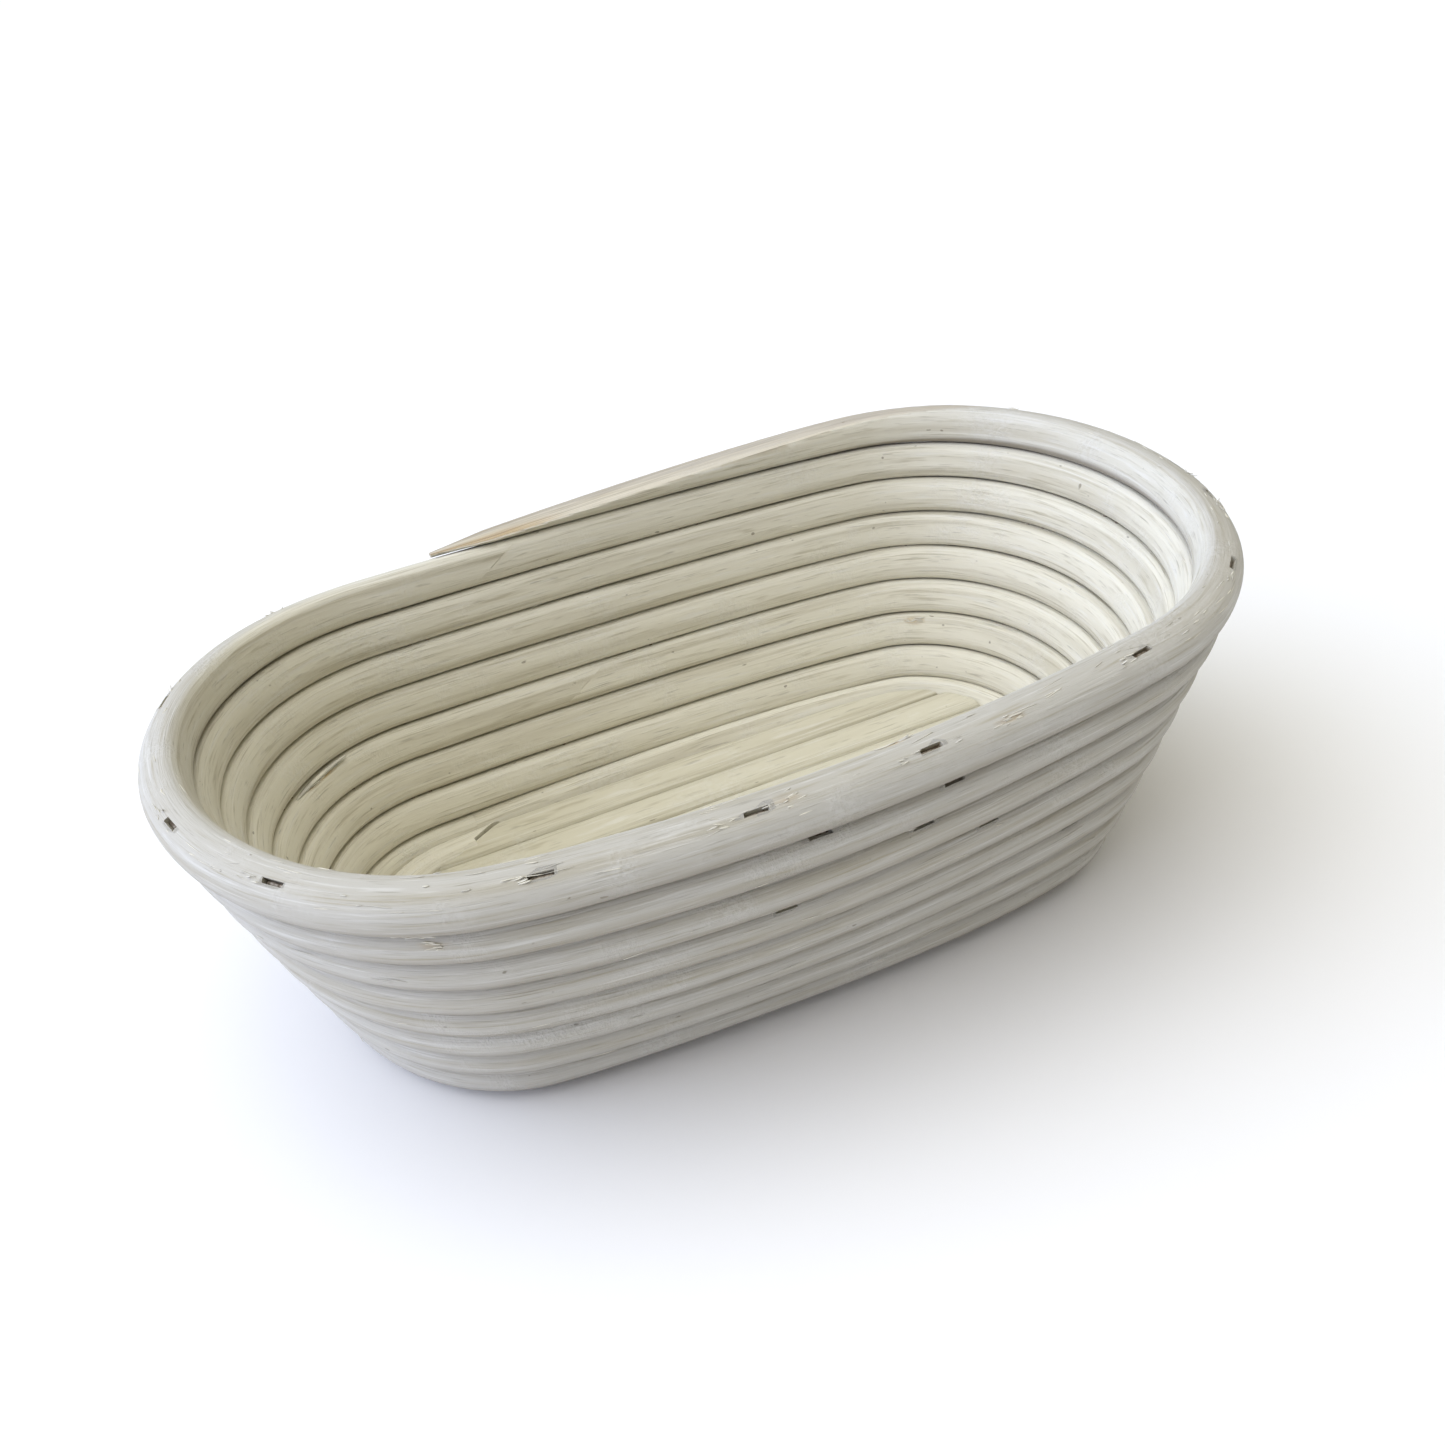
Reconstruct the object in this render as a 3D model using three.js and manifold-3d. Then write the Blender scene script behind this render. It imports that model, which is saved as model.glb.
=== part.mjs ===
// Oval proofing basket (banneton) wound from round rattan cane. Millimetres, +Z up.
//
// One cane runs down from the rim in a clockwise spiral (seen from above), each turn lying on the
// next, and flattens out into the ring that the basket stands on. It is made up of four lengths,
// joined end to end by slanting scarf joints. Flattened canes fill the floor inside the ring, and
// U-shaped wire staples hold each turn to the one below.
//
// "Turn" counts the winding: 1 is the tapered end of the rim at the back left, 2 is one time round.
import * as THREE from "three";
import { mergeVertices } from "three/addons/utils/BufferGeometryUtils.js";
import Module from "manifold-3d";

// ---------- driving dimensions ----------
const PITCH = 9.5; // between the centre lines of touching turns
const GAP = 0.3; // clearance between pieces that touch
const CANE_RADIUS = (PITCH - GAP) / 2;
const RIM_RADIUS = 4.9; // the top turn is a slightly thicker cane

// Plan of the rim's centre line: a four-centred oval whose ends are pulled in a little and whose
// sides both bow towards the front, as the basket has warped.
const END_CENTRE = 62.9; // from the middle to the centre of an end arc
const END_RADIUS = 70.1;
const SIDE_BULGE = 3.8; // how far the side arcs stand out past the end arcs
const PULL_FROM = 50.3; // the ends are pulled in beyond this distance from the middle
const LEFT_PULL = 0.87;
const RIGHT_PULL = 0.847;
const BOW = 7.9;
const SEAM_X = -61.6; // where a turn starts, on the back side

// Lean of the wall from upright, in degrees, at three turns on the way down, and at places round
// the basket: "at" is a fraction of a turn.
const LEAN_TURNS = [1, 4.5, 8];
const LEAN = [
  { at: 0.12, degrees: [14.4, 16.7, 21.8] }, // back
  { at: 0.28, degrees: [18.8, 21, 25.9] },
  { at: 0.4, degrees: [20.4, 21.3, 24.8] }, // right end
  { at: 0.5, degrees: [16.7, 16.8, 21.4] },
  { at: 0.62, degrees: [10.9, 20.5, 28.1] }, // front
  { at: 0.78, degrees: [16.9, 18.6, 19.2] },
  { at: 0.94, degrees: [16.5, 17.7, 22.8] }, // left end
];
const FLOOR_TURN = 9; // from here on the cane lies level

// Where one length of cane ends and the next begins, in turns.
const STEPS_PER_TURN = 48;
const RIM_START = 1 + 1 / STEPS_PER_TURN;
const RIM_SPLICE = 2 + 2 / STEPS_PER_TURN;
const WALL_SPLICE = 6 + 3 / STEPS_PER_TURN;
const RING_SPLICE = 9;
const RING_END = 10;
const SCARF_SLOPE = 1.7; // run of a scarf joint along the cane, to its height
// The rim's skived end: its length, the thickness and the share of the width left at its tip, the
// length over which it narrows to that, and how far the cut turns inwards from facing up.
const SKIVE = { length: 153, tip: 1.2, point: 0.4, pointLength: 13, tilt: 12 };
const SWELL_END = { from: 1.9, to: 1.98 }; // the rim cane thins here to pass under its own end

const CANE_SIDES = 10;

const FLOOR_CANES = 7;
const FLOOR_CANE_HEIGHT = 8.6;
const FLOOR_SIDES = 12;

// Staples lean outwards from the wall's own slope by their tilt, in degrees. sunk is the depth of
// the crown in the cane, and mouth is how far its slot opens above it.
const STAPLE = { crown: 5.8, wire: 1.2 };
const RIM_STAPLE = { leg: 16, sunk: 0.5, mouth: 1.6, tilt: 12 };
const WALL_STAPLE = { leg: 13, sunk: 0.6, mouth: 0.9, tilt: 22 };
const RIM_STAPLE_TURNS = [
  1.27, 1.358, 1.383, 1.433, 1.5, 1.575, 1.625, 1.683, 1.76, 1.808, 1.883, 1.945,
];
const WALL_STAPLE_TURNS = [
  2.12, 2.34, 2.567, 2.608, 2.87, 3.005, 3.3, 3.575, 3.82, 4.22, 4.55, 4.617,
  4.9, 5.09, 5.42, 5.7, 5.95, 6.3, 6.508, 6.8, 6.983, 7.045, 7.35, 7.533, 7.85,
  8.04, 8.4, 8.683,
];

// ---------- colours ----------
const RATTAN = { color: 0xd9d3c3, roughness: 0.85, metalness: 0 };
const FLOOR_RATTAN = { color: 0xd8cfb2, roughness: 0.85, metalness: 0 };
const STEEL = { color: 0x8f8a82, roughness: 0.45, metalness: 1 };

const wasm = await Module();
wasm.setup();

// ---------- the winding ----------
// The lean at one place, by straight lines between its leans at LEAN_TURNS.
function leanAtPlace({ degrees }, turn) {
  const [top, middle, bottom] = LEAN_TURNS;
  const upper = THREE.MathUtils.clamp((turn - top) / (middle - top), 0, 1);
  const lower = THREE.MathUtils.clamp((turn - middle) / (bottom - middle), 0, 1);
  const lean = THREE.MathUtils.lerp(degrees[0], degrees[1], upper);
  return lean + (degrees[2] - degrees[1]) * lower;
}

// The wall's lean between a turn and the one below it, in radians. It changes smoothly from place
// to place round the basket.
function leanAt(turn) {
  const fraction = turn - Math.floor(turn + 1e-9);
  const next = LEAN.findIndex((place) => place.at > fraction);
  const after = LEAN[next < 0 ? 0 : next];
  const before = LEAN.at(next < 0 ? -1 : next - 1);
  const gap = (after.at - before.at + 1) % 1;
  const part = THREE.MathUtils.smoothstep((fraction - before.at + 1) % 1, 0, gap);
  const lean = THREE.MathUtils.lerp(
    leanAtPlace(before, turn),
    leanAtPlace(after, turn),
    part,
  );
  return THREE.MathUtils.degToRad(lean);
}

// A point of the rim's plan, a fraction of the way round, clockwise from above from the seam.
function rimPoint(fraction) {
  const sideCentre = (END_CENTRE ** 2 - SIDE_BULGE ** 2) / (2 * SIDE_BULGE);
  const sideRadius = sideCentre + SIDE_BULGE + END_RADIUS;
  const halfSide = Math.atan2(END_CENTRE, sideCentre);
  const side = 2 * sideRadius * halfSide;
  const end = END_RADIUS * (Math.PI - 2 * halfSide);
  const start = sideRadius * (Math.asin(SEAM_X / sideRadius) + halfSide);
  const along = (fraction * 2 * (side + end) + start) % (2 * (side + end));
  const turned = along >= side + end; // the front and left are the back and right turned round
  const run = turned ? along - side - end : along;
  const point = new THREE.Vector3();
  if (run < side) {
    const angle = run / sideRadius - halfSide;
    point.set(Math.sin(angle), Math.cos(angle), 0).multiplyScalar(sideRadius);
    point.y -= sideCentre;
  } else {
    const angle = halfSide + (run - side) / END_RADIUS;
    point.set(Math.sin(angle), Math.cos(angle), 0).multiplyScalar(END_RADIUS);
    point.x += END_CENTRE;
  }
  if (turned) point.multiplyScalar(-1);
  const beyond = Math.max(Math.abs(point.x) - PULL_FROM, 0);
  const pull = point.x > 0 ? RIGHT_PULL : LEFT_PULL;
  point.x -= Math.sign(point.x) * beyond * (1 - pull);
  point.y -= BOW * (1 - (point.x / (END_CENTRE + END_RADIUS)) ** 2);
  return point;
}

// The step from a point of the cane to the turn below it, given the cane's direction there.
function stepDown(along, lean) {
  const inward = new THREE.Vector3(along.y, -along.x, 0).normalize();
  return inward
    .multiplyScalar(PITCH * Math.sin(lean))
    .setZ(-PITCH * Math.cos(lean));
}

// The centre line of the whole winding, STEPS_PER_TURN points to a turn. Each turn is worked out
// from the one above it, so that they just touch.
function windPoints() {
  const fractions = Array.from(
    { length: STEPS_PER_TURN },
    (_, i) => i / STEPS_PER_TURN,
  );
  const half = 0.5 / STEPS_PER_TURN;
  const points = fractions.map((fraction) => {
    const along = rimPoint(fraction + half).sub(rimPoint(fraction + 1 - half));
    const lean = leanAt(fraction);
    return rimPoint(fraction).addScaledVector(stepDown(along, lean), fraction);
  });
  let floorLevel;
  for (let i = 0; points.length <= FLOOR_TURN * STEPS_PER_TURN; i++) {
    const turn = 1 + i / STEPS_PER_TURN;
    const along = points[i + 1].clone().sub(points[Math.max(i - 1, 0)]);
    let lean = leanAt(turn);
    if (turn >= LEAN_TURNS.at(-1)) {
      floorLevel ??= points[i].z - PITCH * Math.cos(lean);
      lean = Math.acos(Math.min((points[i].z - floorLevel) / PITCH, 1));
    }
    points.push(points[i].clone().add(stepDown(along, lean)));
  }
  return points;
}
const WINDING = new THREE.CatmullRomCurve3(windPoints());
const WINDING_TURNS = (WINDING.points.length - 1) / STEPS_PER_TURN;
const FLOOR_LEVEL = WINDING.points.at(-1).z;

function centreAt(turn) {
  return WINDING.getPoint((turn - 1) / WINDING_TURNS);
}

// How long one whole turn is at the rate the cane goes at a turn.
function turnLengthAt(turn) {
  const step = 0.001;
  return centreAt(turn + step).distanceTo(centreAt(turn)) / step;
}

// The cane's own axes at a turn: along it, out of the basket, and up towards the turn above.
function frameAt(turn) {
  const centre = centreAt(turn);
  const along = WINDING.getTangent((turn - 1) / WINDING_TURNS);
  const up =
    turn < 2
      ? centre.clone().sub(centreAt(turn + 1))
      : centreAt(turn - 1).sub(centre);
  up.addScaledVector(along, -up.dot(along)).normalize();
  const out = new THREE.Vector3().crossVectors(up, along);
  return { centre, along, out, up };
}

// ---------- solids ----------
function manifoldOf(geometry) {
  const bare = geometry.clone();
  bare.deleteAttribute("normal");
  bare.deleteAttribute("uv");
  const merged = mergeVertices(bare, 1e-4);
  return new wasm.Manifold(
    new wasm.Mesh({
      numProp: 3,
      vertProperties: merged.attributes.position.array,
      triVerts: new Uint32Array(merged.index.array),
    }),
  );
}

function geometryOf(solid) {
  const { vertProperties, triVerts } = solid.getMesh();
  const geometry = new THREE.BufferGeometry();
  geometry.setAttribute(
    "position",
    new THREE.BufferAttribute(vertProperties, 3),
  );
  geometry.setIndex(new THREE.BufferAttribute(triVerts, 1));
  return geometry;
}

function ellipse(width, height, sides) {
  const shape = new THREE.Shape();
  const corners = Array.from({ length: sides }, (_, i) => {
    const angle = ((i + 0.5) / sides) * 2 * Math.PI - Math.PI / 2;
    return new THREE.Vector2(
      (width / 2) * Math.cos(angle),
      (height / 2) * Math.sin(angle),
    );
  });
  return shape.setFromPoints(corners);
}

// Moves every corner of a geometry: place takes it and returns where it goes.
function reshape(geometry, place) {
  const positions = geometry.attributes.position;
  const corner = new THREE.Vector3();
  for (let i = 0; i < positions.count; i++) {
    corner.fromBufferAttribute(positions, i);
    positions.setXYZ(i, ...place(corner));
  }
  return geometry;
}

// A length of cane wound from one turn to another. trim gets a corner of the cane's section (out,
// up), and the turn it is at, and returns its new place (out, up) and how far it slides along.
function woundCane(from, to, trim) {
  const steps = Math.round((to - from) * STEPS_PER_TURN);
  const section = ellipse(2 * CANE_RADIUS, 2 * CANE_RADIUS, CANE_SIDES);
  const straight = new THREE.ExtrudeGeometry(section, {
    depth: steps,
    steps,
    bevelEnabled: false,
  });
  return reshape(straight, (corner) => {
    const turn = from + ((to - from) * corner.z) / steps;
    const frame = frameAt(turn);
    const { out, up, slide } = trim(corner.x, corner.y, turn);
    return frame.centre
      .addScaledVector(frame.out, out)
      .addScaledVector(frame.up, up)
      .addScaledVector(frame.along, slide);
  });
}

// How far a corner of a length of cane slides along it, so that both ends are cut on a slant.
function scarf(up, turn, from, to) {
  const clearance = (GAP / 2) * Math.hypot(1, SCARF_SLOPE);
  if (turn < from + 1e-6) return up * SCARF_SLOPE + clearance;
  if (turn > to - 1e-6) return up * SCARF_SLOPE - clearance;
  return 0;
}

function plainCane(from, to) {
  return woundCane(from, to, (out, up, turn) => ({
    out,
    up,
    slide: scarf(up, turn, from, to),
  }));
}

// Cuts a corner of the rim's section back to the skive, a plane that rises along the cane.
function skived(out, up, length) {
  const tilt = THREE.MathUtils.degToRad(SKIVE.tilt);
  const rise = (2 * RIM_RADIUS - SKIVE.tip) / SKIVE.length;
  const level = SKIVE.tip - RIM_RADIUS + length * rise;
  const half = Math.sqrt(Math.max(RIM_RADIUS ** 2 - level ** 2, 0));
  const above = up * Math.cos(tilt) - out * Math.sin(tilt);
  let across = out * Math.cos(tilt) + up * Math.sin(tilt);
  if (above > level) across = THREE.MathUtils.clamp(across, -half, half);
  const narrowing = Math.min(length / SKIVE.pointLength, 1);
  across *= THREE.MathUtils.lerp(SKIVE.point, 1, narrowing);
  const kept = Math.min(above, level);
  return {
    out: across * Math.cos(tilt) - kept * Math.sin(tilt),
    up: across * Math.sin(tilt) + kept * Math.cos(tilt),
  };
}

// The rim's cane: thicker than the others, and skived where it starts.
function rimCane() {
  const turnLength = turnLengthAt(RIM_START);
  return woundCane(RIM_START, RIM_SPLICE, (out, up, turn) => {
    const thin = THREE.MathUtils.smoothstep(turn, SWELL_END.from, SWELL_END.to);
    const radius = THREE.MathUtils.lerp(RIM_RADIUS, CANE_RADIUS, thin);
    const grow = radius / CANE_RADIUS;
    const cut = skived(out * grow, up * grow, (turn - RIM_START) * turnLength);
    return {
      out: cut.out,
      up: cut.up + radius - CANE_RADIUS,
      slide: turn > 1.5 ? scarf(up, turn, RIM_START, RIM_SPLICE) : 0,
    };
  });
}

// ---------- the floor ----------
// The outline of the space inside the floor ring: it follows the ring's inner side, and closes
// along the slanting cut at the ring's inner end.
function insideOfRing() {
  const reach = CANE_RADIUS + GAP;
  const ringLength = turnLengthAt((RING_SPLICE + RING_END) / 2);
  const slant = (CANE_RADIUS * SCARF_SLOPE) / ringLength;
  const clearance = (GAP * Math.hypot(1, SCARF_SLOPE)) / ringLength;
  const from = FLOOR_TURN + slant + clearance;
  const to = RING_END - slant + clearance;
  const points = [];
  for (let i = 0; i <= STEPS_PER_TURN; i++) {
    const turn = THREE.MathUtils.lerp(from, to, i / STEPS_PER_TURN);
    const { centre, along } = frameAt(turn);
    const level = Math.hypot(along.x, along.y);
    points.push(
      new THREE.Vector2(
        centre.x + (along.y / level) * reach,
        centre.y - (along.x / level) * reach,
      ),
    );
  }
  return points;
}

// The floor canes, side by side, with their undersides at a level.
function floorCanes(level) {
  const outline = insideOfRing();
  const plug = new THREE.ExtrudeGeometry(new THREE.Shape(outline), {
    depth: 4 * PITCH,
    bevelEnabled: false,
  }).translate(0, 0, FLOOR_LEVEL - 2 * PITCH);
  const inside = manifoldOf(plug);
  const middle = outline.filter((point) => Math.abs(point.x) < END_CENTRE / 2);
  const back = Math.min(...middle.map((p) => p.y).filter((y) => y > 0));
  const front = Math.min(...middle.map((p) => p.y));
  const spacing = (back - front + GAP) / FLOOR_CANES;
  const section = ellipse(spacing - GAP, FLOOR_CANE_HEIGHT, FLOOR_SIDES);
  const length = 4 * END_CENTRE;
  const underside = (FLOOR_CANE_HEIGHT / 2) * Math.cos(Math.PI / FLOOR_SIDES);
  const z = level + underside;
  return Array.from({ length: FLOOR_CANES }, (_, i) => {
    const cane = new THREE.ExtrudeGeometry(section, {
      depth: length,
      bevelEnabled: false,
    })
      .translate(0, 0, -length / 2)
      .rotateX(Math.PI / 2)
      .rotateZ(Math.PI / 2)
      .translate(0, back + GAP / 2 - (i + 0.5) * spacing, z);
    return manifoldOf(cane).intersect(inside);
  });
}

// ---------- staples ----------
// A U of wire in the plane of the cane: its crown is at the top, level with y = 0. The pocket that
// it sits in is larger all round and open above.
function stapleGeometry(leg, clearance, openTop) {
  const half = STAPLE.crown / 2 + clearance;
  const inner = STAPLE.crown / 2 - STAPLE.wire - clearance;
  const shape = new THREE.Shape([
    new THREE.Vector2(-half, -leg - clearance),
    new THREE.Vector2(-inner, -leg - clearance),
    new THREE.Vector2(-inner, -STAPLE.wire - clearance),
    new THREE.Vector2(inner, -STAPLE.wire - clearance),
    new THREE.Vector2(inner, -leg - clearance),
    new THREE.Vector2(half, -leg - clearance),
    new THREE.Vector2(half, openTop),
    new THREE.Vector2(-half, openTop),
  ]);
  const thick = STAPLE.wire + 2 * clearance;
  return new THREE.ExtrudeGeometry(shape, {
    depth: thick,
    bevelEnabled: false,
  }).translate(0, 0, -thick / 2);
}

// Moves a staple's geometry to where it is driven into the cane of a radius at a turn.
function driven(geometry, turn, radius, kind) {
  const { centre, along, out, up } = frameAt(turn);
  const middle = centre.addScaledVector(up, radius - CANE_RADIUS);
  const tilt = -THREE.MathUtils.degToRad(kind.tilt);
  up.applyAxisAngle(along, tilt);
  out.applyAxisAngle(along, tilt);
  const place = new THREE.Matrix4().makeBasis(along, up, out.negate());
  place.setPosition(middle.addScaledVector(up, radius - kind.sunk));
  return geometry.applyMatrix4(place);
}

function stapleSites() {
  const rim = RIM_STAPLE_TURNS.map((turn) => [turn, RIM_RADIUS, RIM_STAPLE]);
  const wall = WALL_STAPLE_TURNS.map((turn) => [turn, CANE_RADIUS, WALL_STAPLE]);
  return { rim, wall };
}

// ---------- assembly ----------
function named(name, geometry, finish) {
  const mesh = new THREE.Mesh(geometry, new THREE.MeshStandardMaterial(finish));
  mesh.name = name;
  return mesh;
}

function makeBasket() {
  const basket = new THREE.Group();
  const sites = stapleSites();
  const pockets = [...sites.rim, ...sites.wall]
    .map(([turn, radius, kind]) => {
      const pocket = stapleGeometry(kind.leg, GAP, kind.mouth);
      return manifoldOf(driven(pocket, turn, radius, kind));
    })
    .reduce((all, pocket) => all.add(pocket));
  const canes = {
    rim_cane: rimCane(),
    upper_wall_cane: plainCane(RIM_SPLICE, WALL_SPLICE),
    lower_wall_cane: plainCane(WALL_SPLICE, RING_SPLICE),
    floor_ring_cane: plainCane(RING_SPLICE, RING_END),
  };
  for (const [name, geometry] of Object.entries(canes)) {
    const drilled = manifoldOf(geometry).subtract(pockets);
    basket.add(named(name, geometryOf(drilled), RATTAN));
  }
  canes.floor_ring_cane.computeBoundingBox();
  const standsOn = canes.floor_ring_cane.boundingBox.min.z;
  floorCanes(standsOn).forEach((cane, i) => {
    basket.add(named(`floor_cane_${i + 1}`, geometryOf(cane), FLOOR_RATTAN));
  });
  for (const [where, list] of Object.entries(sites)) {
    list.forEach(([turn, radius, kind], i) => {
      const staple = stapleGeometry(kind.leg, 0, 0);
      const mesh = driven(staple, turn, radius, kind);
      basket.add(named(`${where}_staple_${i + 1}`, mesh, STEEL));
    });
  }
  return basket;
}

// The basket stands on z = 0 with its box centred on the origin.
const basket = makeBasket();
const box = new THREE.Box3().setFromObject(basket, true);
const middle = box.getCenter(new THREE.Vector3());
basket.position.set(-middle.x, -middle.y, -box.min.z);

export default basket;
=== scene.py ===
"""An oval banneton of coiled rattan cane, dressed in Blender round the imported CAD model.

Lengths are in millimetres until a mesh is made. The winding is the CAD model's: a cane runs down
clockwise from the tapered end of the rim, and "turn" counts it, from 1 at that end.
"""

import math

import bpy
import numpy as np
from mathutils import Matrix, Vector

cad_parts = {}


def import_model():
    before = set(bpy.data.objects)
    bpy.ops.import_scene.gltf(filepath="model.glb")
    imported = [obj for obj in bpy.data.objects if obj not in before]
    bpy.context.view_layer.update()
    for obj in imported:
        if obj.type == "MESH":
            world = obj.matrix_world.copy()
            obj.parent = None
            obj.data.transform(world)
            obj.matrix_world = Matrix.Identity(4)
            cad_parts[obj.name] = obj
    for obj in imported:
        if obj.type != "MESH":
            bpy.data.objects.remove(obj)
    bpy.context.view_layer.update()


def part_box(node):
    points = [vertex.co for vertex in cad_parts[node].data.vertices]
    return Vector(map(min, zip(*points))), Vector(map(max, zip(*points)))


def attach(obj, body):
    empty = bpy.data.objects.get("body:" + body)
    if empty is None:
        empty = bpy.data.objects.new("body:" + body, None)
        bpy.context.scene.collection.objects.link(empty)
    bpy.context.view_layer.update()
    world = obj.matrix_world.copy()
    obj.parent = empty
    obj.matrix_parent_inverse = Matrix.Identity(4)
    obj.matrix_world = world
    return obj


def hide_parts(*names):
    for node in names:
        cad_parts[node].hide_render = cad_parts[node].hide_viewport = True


MM = 0.001

# ---------- the winding, as in the CAD model ----------
PITCH = 9.5
GAP = 0.3
CAD_RADIUS = (PITCH - GAP) / 2
RIM_RADIUS = 4.9
END_CENTRE = 62.9
END_RADIUS = 70.1
SIDE_BULGE = 3.8
PULL_FROM = 50.3
LEFT_PULL = 0.87
RIGHT_PULL = 0.847
BOW = 7.9
SEAM_X = -61.6
# Lean of the wall in degrees at three turns on the way down, at places round the basket.
LEAN_TURNS = (1, 4.5, 8)
LEAN = [
    (0.12, (14.4, 16.7, 21.8)),  # back
    (0.28, (18.8, 21, 25.9)),
    (0.4, (20.4, 21.3, 24.8)),  # right end
    (0.5, (16.7, 16.8, 21.4)),
    (0.62, (10.9, 20.5, 28.1)),  # front
    (0.78, (16.9, 18.6, 19.2)),
    (0.94, (16.5, 17.7, 22.8)),  # left end
]
FLOOR_TURN = 9
STATIONS = 48  # known points of the winding, in a turn
RIM_START = 1 + 1 / STATIONS
RIM_SPLICE = 2 + 2 / STATIONS
WALL_SPLICE = 6 + 3 / STATIONS
RING_SPLICE = 9
RING_END = 10
SCARF_SLOPE = 1.7
SKIVE_LENGTH = 153
SKIVE_TILT = math.radians(12)  # how far the cut turns inwards from facing up
SWELL_END = (1.9, 1.98)  # the turns over which the rim thins to the wall's cane
FLOOR_CANES = 7
FLOOR_CANE_HEIGHT = 8.6
STAPLE_CROWN = 5.8
RIM_STAPLE_TURNS = (
    1.27, 1.358, 1.383, 1.433, 1.5, 1.575, 1.625, 1.683, 1.76, 1.808, 1.883, 1.945,
)
WALL_STAPLE_TURNS = (
    2.12, 2.34, 2.567, 2.608, 2.87, 3.005, 3.3, 3.575, 3.82, 4.22, 4.55, 4.617, 4.9, 5.09,
    5.42, 5.7, 5.95, 6.3, 6.508, 6.8, 6.983, 7.045, 7.35, 7.533, 7.85, 8.04, 8.4, 8.683,
)

# ---------- how the canes are drawn ----------
CANE_RADIUS = 4.72  # neighbouring turns press lightly together
SIDES = 56
STEPS_PER_TURN = 360
# A section is round at squareness 1 and fuller below it.
OUTER_SQUARENESS = 0.9
INNER_SQUARENESS = 0.62
FLOOR_SQUARENESS = 0.45
SCARF_GAP = 0.1  # the line that shows where two lengths are joined
FLOOR_PRESS = 0.1  # how far the floor canes press into the ring
FLOOR_RINGS = 220  # sections along a floor cane
# Turns of the rim: it is bleached whitest by the first, from the second on that fades, and at the
# third it is gone.
RIM_WHITE = (1.3, 1.86, 1.99)
SHARP = math.radians(50)  # edges at least this sharp stay crisp
# The rim's skived end, drawn finer than in the CAD: the height and the share of the width left at
# its tip, the length over which it narrows to that, and how far it springs off the turn below and
# over what length.
SKIVE_TIP = 1.0
SKIVE_POINT = 0.3
SKIVE_POINT_LENGTH = 15
SKIVE_SPRING = 0.1
SPRUNG_LENGTH = 45
# How freshly cut the skive looks, from 0 to 1: at least SKIVE_FRESH, and near the tip TIP_FRESH,
# with TIP_FRESH_INSIDE more on the inner side. That has half faded at FRESH_LENGTH from the tip.
SKIVE_FRESH = 0.28
TIP_FRESH = 0.2
TIP_FRESH_INSIDE = 0.7
FRESH_LENGTH = 34
WIRE = 0.5  # radius of a staple's wire
# Staples: the length of a leg, how deep the crown is in the cane, and how far it leans outwards.
RIM_STAPLE = {"leg": 14, "sunk": 0.7, "lean": math.radians(12)}
WALL_STAPLE = {"leg": 12, "sunk": 1.4, "lean": math.radians(22)}
# Slots driven into the canes for the staples: length, width and depth.
RIM_SLOT = (5.0, 1.15, 1.5)
WALL_SLOT = (4.8, 1.1, 1.6)
WALL_SLOT_LEAN = math.radians(31)
SLOT_RAGGED = (0.82, 1.08)  # limits of a slot's corners, as shares of its size
STAPLE_SHOULDER = 0.9  # radius of the wire's bends
# The wall's staples whose slots stay open, in the grooves outside.
OPEN_SLOTS = (2.567, 2.608, 3.575, 4.55, 4.617, 6.508, 7.533, 8.683)
# Torn or stained places: turn, angle round the cane in degrees, half length, half width and how
# far they are from whole (0) to freshly cut (1).
SCARS = (
    (1.55, 72, 3.0, 0.8, 0.45),
    (1.583, 125, 3.5, 0.7, 0.9),
    (1.617, 84, 2.5, 0.9, 0.3),
    (1.722, -38, 3.5, 1.0, 0.5),
    (2.717, 40, 2.5, 0.8, 0.3),
    (5.925, 142, 9.0, 1.2, 1.0),
    (7.23, 158, 5.0, 1.3, 0.55),
)
FIBRE_THICK = 0.12  # half the thickness of a loose fibre, at most
# The sliver that has lifted from the cane inside the left end.
SLIVER = {
    "turn": 5.903, "angle": math.radians(132), "length": 21.0, "width": 1.5,
    "lift": 1.3, "drift": math.radians(6),
}


def smoothstep(low, high, x):
    t = np.clip((x - low) / (high - low), 0, 1)
    return t * t * (3 - 2 * t)


def lean_at(turn):
    """The wall's lean between a turn and the one below it, in radians."""
    fraction = turn - math.floor(turn + 1e-9)
    following = next((i for i, place in enumerate(LEAN) if place[0] > fraction), 0)
    after, before = LEAN[following], LEAN[following - 1]
    gap = (after[0] - before[0] + 1) % 1
    part = smoothstep(0, gap, (fraction - before[0] + 1) % 1)
    leans = [np.interp(turn, LEAN_TURNS, degrees) for _, degrees in (before, after)]
    return math.radians(leans[0] + (leans[1] - leans[0]) * part)


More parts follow.
